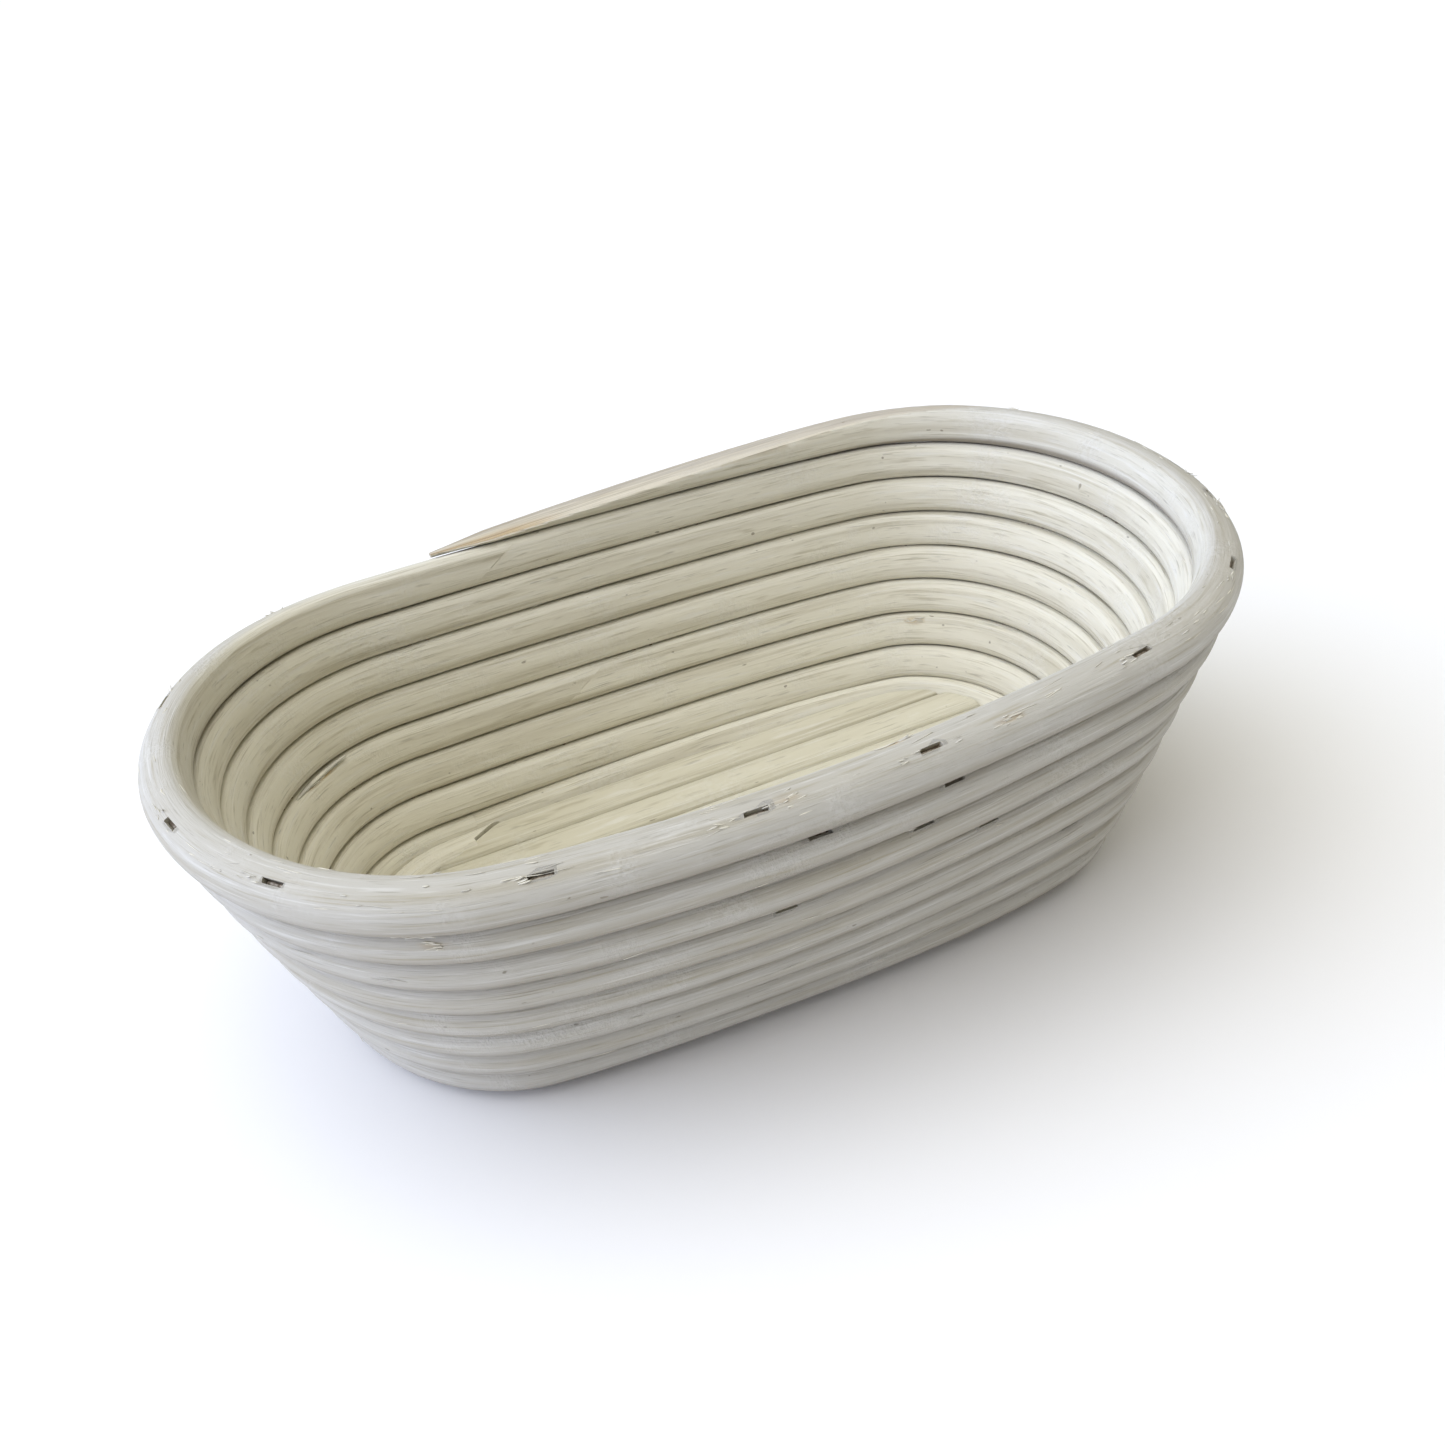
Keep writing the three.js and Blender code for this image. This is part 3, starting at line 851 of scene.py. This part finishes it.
def cane_colour(n, gold, grain, fibre, thread, flour):
    """Bleached cane, cream inside the basket, with streaks, specks and flour, and painted shade in
    the grooves and on the undersides outside.
    """
    inside = n.ramp(n.mark("facing"), 0.55, -0.35)
    broad = n.noise(n.stretched(grain, (9, 420, 420)), 1, 2, 0.5)
    speck = n.noise(n.stretched(grain, (350, 700, 700)), 1, 1, 0.5)
    colour = n.mix(inside, WHITE_CANE, n.mix(gold, CREAM_CANE, GOLD_CANE))
    colour = n.tint(colour, n.ramp(broad, 0.45, 0.72), 0.4, STREAK)
    colour = n.tint(colour, n.ramp(fibre, 0.54, 0.72), 0.5, STREAK)
    colour = n.tint(colour, n.ramp(fibre, 0.46, 0.3), 0.35, FLOUR)
    colour = n.tint(colour, n.ramp(thread, 0.58, 0.76), 0.38, DIRT_AND_GROOVE_SHADE)
    colour = n.tint(colour, n.ramp(speck, 0.77, 0.82), 0.6, DIRT_AND_GROOVE_SHADE)
    colour = n.tint(colour, flour, 0.2, FLOUR)
    # Painted shade: the undersides of the canes outside the basket are darkened.
    under = n.math("MULTIPLY", n.ramp(n.mark("under"), -0.3, 0.6), n.ramp(inside, 0.6, 0.2))
    colour = n.tint(colour, under, 0.8, UNDERSIDE_SHADE)
    # Painted shade: the grooves where the turns meet, and the sides of the floor canes, are
    # darkened.
    return n.tint(colour, n.ramp(n.mark("groove"), 0.98, 1.0), 0.5, DIRT_AND_GROOVE_SHADE)


def opened_colour(n, colour, fibre, thread):
    """The colour where the cane is sawn or torn, painted shade where it is slotted, and the given
    colour elsewhere.
    """
    sawn = n.mix(n.ramp(fibre, 0.4, 0.62), TAN_CUT, DEEP_CUT)
    torn = n.math("MULTIPLY", n.mark("cut"), n.ramp(thread, 0.3, 0.5, 0.6, 1.0), clamp=True)
    colour = n.mix(torn, colour, sawn)
    # Painted shade inside the slots: shadowed wood in the rim's, black in the wall's.
    dark = n.mix(n.ramp(fibre, 0.4, 0.6), SLOT_SHADED_WOOD, SLOT_SHADOW)
    dark = n.mix(n.ramp(n.mark("slot"), 1.2, 1.8), dark, SLOT_SHADOW)
    return n.mix(n.ramp(n.mark("slot"), 0.2, 0.8), colour, dark)


def rattan(name, gold):
    """Peeled rattan with long fibres, flour in them, and painted shade where the turns meet."""
    n = Nodes(name)
    grain = n.add("ShaderNodeAttribute", attribute_name="grain").outputs["Vector"]
    place = n.add("ShaderNodeTexCoord").outputs["Object"]
    fibre = n.noise(n.stretched(grain, (45, 1500, 1500)), 1, 3, 0.6)
    thread = n.noise(n.stretched(grain, (110, 4200, 4200)), 1, 2, 0.6)
    blotch = n.noise(place, 55, 3, 0.6)
    crumb = n.noise(place, 900, 3, 0.7)
    flour = n.math("MULTIPLY", n.ramp(blotch, 0.5, 0.68), n.ramp(crumb, 0.35, 0.6))

    colour = cane_colour(n, gold, grain, fibre, thread, flour)
    n.set(n.shader.inputs["Base Color"], opened_colour(n, colour, fibre, thread))
    n.set(n.shader.inputs["Roughness"], n.ramp(fibre, 0.3, 0.7, 0.68, 0.9))
    n.shader.inputs["Specular IOR Level"].default_value = 0.3
    n.shader.inputs["Sheen Weight"].default_value = 0.12
    n.shader.inputs["Sheen Roughness"].default_value = 0.6

    crumbs = n.math("MULTIPLY", n.math("MULTIPLY", flour, crumb), 0.8)
    threads = n.math("MULTIPLY", thread, 0.45)
    height = n.math("ADD", n.math("ADD", fibre, threads), crumbs)
    bump = n.add("ShaderNodeBump", {"Strength": 0.7, "Distance": 0.0003, "Height": height})
    n.set(n.shader.inputs["Normal"], bump.outputs["Normal"])
    return n.material


def loose_fibre():
    """Pale dry fibres, in patches of two colours."""
    n = Nodes("loose_fibre")
    place = n.add("ShaderNodeTexCoord").outputs["Object"]
    patch = n.noise(place, 140, 2)
    n.set(n.shader.inputs["Base Color"], n.mix(n.ramp(patch, 0.4, 0.65), LOOSE, CREAM_CANE))
    n.shader.inputs["Roughness"].default_value = 0.85
    bump = n.add("ShaderNodeBump", {"Strength": 0.3, "Distance": 0.0001})
    n.set(bump.inputs["Height"], n.noise(place, 3000, 2))
    n.set(n.shader.inputs["Normal"], bump.outputs["Normal"])
    return n.material


def staple_steel():
    """Dull wire, tarnished in patches."""
    n = Nodes("staple_steel")
    place = n.add("ShaderNodeTexCoord").outputs["Object"]
    tarnish = n.noise(place, 900, 3, 0.6)
    colour = n.mix(n.ramp(tarnish, 0.4, 0.65), STEEL, TARNISH)
    n.set(n.shader.inputs["Base Color"], colour)
    n.set(n.shader.inputs["Roughness"], n.ramp(tarnish, 0.35, 0.7, 0.4, 0.75))
    n.shader.inputs["Metallic"].default_value = 0.4
    bump = n.add("ShaderNodeBump", {"Strength": 0.3, "Distance": 0.0001, "Height": tarnish})
    n.set(n.shader.inputs["Normal"], bump.outputs["Normal"])
    return n.material


# ---------- the stage ----------
CAMERA_AZIMUTH = -20.396
CAMERA_ELEVATION = 32.871
CAMERA_ROLL = -7.549
CAMERA_DISTANCE = 329.9
CAMERA_TARGET = (1.25, -0.21, -37.48)  # in the winding's own frame
CAMERA_LENS = 34.17
# The room's light: the direction it comes from, how sharply it fades, and its colour.
SKY = (
    ((0, 0, 1), 4, (1.58, 1.63, 1.69)),
    ((0, 0, 1), 1.5, (0.45, 0.38, 0.2)),
    ((-1, 0, 0.15), 3, (1.65, 1.72, 2.2)),
    ((-1, 0.6, 0.4), 4, (1.15, 1.45, 2.1)),
)
SOFTBOX = {"place": (-0.5, 0.3, 1.2), "size": 1.0, "power": 1.2}
STAGE_SIZE = 60
STAGE_DROP = 0.0001  # keeps the floor just clear of the basket's underside
BACKDROP = (1.0, 1.0, 1.0, 1.0)  # what a view that looks past the floor sees


def make_camera(offset):
    azimuth, elevation, roll = (
        math.radians(a) for a in (CAMERA_AZIMUTH, CAMERA_ELEVATION, CAMERA_ROLL)
    )
    back = Vector(
        (
            math.sin(azimuth) * math.cos(elevation),
            -math.cos(azimuth) * math.cos(elevation),
            math.sin(elevation),
        )
    )
    level_right = (-back).cross(Vector((0, 0, 1))).normalized()
    level_up = level_right.cross(-back)
    right = math.cos(roll) * level_right + math.sin(roll) * level_up
    up = -math.sin(roll) * level_right + math.cos(roll) * level_up
    place = (Vector(CAMERA_TARGET) + Vector(offset) + CAMERA_DISTANCE * back) * MM
    data = bpy.data.cameras.new("camera")
    data.sensor_width = 36
    data.lens = CAMERA_LENS
    camera = bpy.data.objects.new("camera", data)
    axes = Matrix((right, up, back)).transposed().to_4x4()
    camera.matrix_world = Matrix.Translation(place) @ axes
    bpy.context.scene.collection.objects.link(camera)
    bpy.context.scene.camera = camera


def area_light(name, place, size, power):
    data = bpy.data.lights.new(name, "AREA")
    data.shape = "DISK"
    data.size = size
    data.energy = power
    light = bpy.data.objects.new(name, data)
    light.location = place
    light.rotation_euler = (-Vector(place)).to_track_quat("-Z", "Y").to_euler()
    bpy.context.scene.collection.objects.link(light)


def make_sky():
    """A soft light from above and a cooler one from the left. Only the camera sees the backdrop."""
    world = bpy.data.worlds.new("world")
    world.use_nodes = True
    bpy.context.scene.world = world
    n = Nodes(tree=world.node_tree)
    direction = n.add("ShaderNodeTexCoord").outputs["Generated"]
    total = (0.0, 0.0, 0.0, 1.0)
    for toward, sharpness, colour in SKY:
        inputs = {0: direction, 1: Vector(toward).normalized()}
        facing = n.add("ShaderNodeVectorMath", inputs, operation="DOT_PRODUCT").outputs["Value"]
        glow = n.math("POWER", n.math("MAXIMUM", facing, 0.0), sharpness)
        total = n.mix(glow, total, (*colour, 1.0), "ADD")
    seen = n.add("ShaderNodeLightPath").outputs["Is Camera Ray"]
    n.set(world.node_tree.nodes["Background"].inputs["Color"], n.mix(seen, total, BACKDROP))


def make_stage():
    """A plain pale floor under the sky."""
    make_sky()
    bpy.context.scene.view_settings.view_transform = "Standard"
    area_light("softbox", **SOFTBOX)
    bpy.ops.mesh.primitive_plane_add(size=STAGE_SIZE, location=(0, 0, -STAGE_DROP))
    floor = bpy.context.object
    floor.name = "floor"
    n = Nodes("floor_white")
    n.shader.inputs["Base Color"].default_value = (0.93, 0.93, 0.93, 1)
    n.shader.inputs["Roughness"].default_value = 0.9
    floor.data.materials.append(n.material)


def rim_offset():
    """From the winding's own frame to the CAD model's, in millimetres."""
    centre, _, out, _ = frames_at(np.linspace(1.05, 2, 2000))
    low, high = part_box("rim_cane")
    outer = centre + out * RIM_RADIUS
    x = (low.x + high.x) / 2 / MM - (outer[:, 0].min() + outer[:, 0].max()) / 2
    y = (low.y + high.y) / 2 / MM - (outer[:, 1].min() + outer[:, 1].max()) / 2
    # The rim's top is skived at its highest place, so the height is that of the turns below.
    wall_top = centre_at(np.linspace(RIM_SPLICE, WALL_SPLICE, 4000))[:, 2].max() + CAD_RADIUS
    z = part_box("upper_wall_cane")[1].z / MM - wall_top
    return np.array([x, y, z])


def main():
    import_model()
    offset = rim_offset()
    rattan_look = rattan("rattan", 0.15)
    floor_look = rattan("floor_rattan", 0.6)
    steel = staple_steel()
    canes = make_canes(offset)
    cut_slots(canes, offset)
    for cane in canes:
        cane.data.materials.append(rattan_look)
    for cane in make_floor(offset):
        cane.data.materials.append(floor_look)
    make_staples(steel, offset)
    make_fibres(loose_fibre(), offset)
    make_stage()
    make_camera(offset)


main()
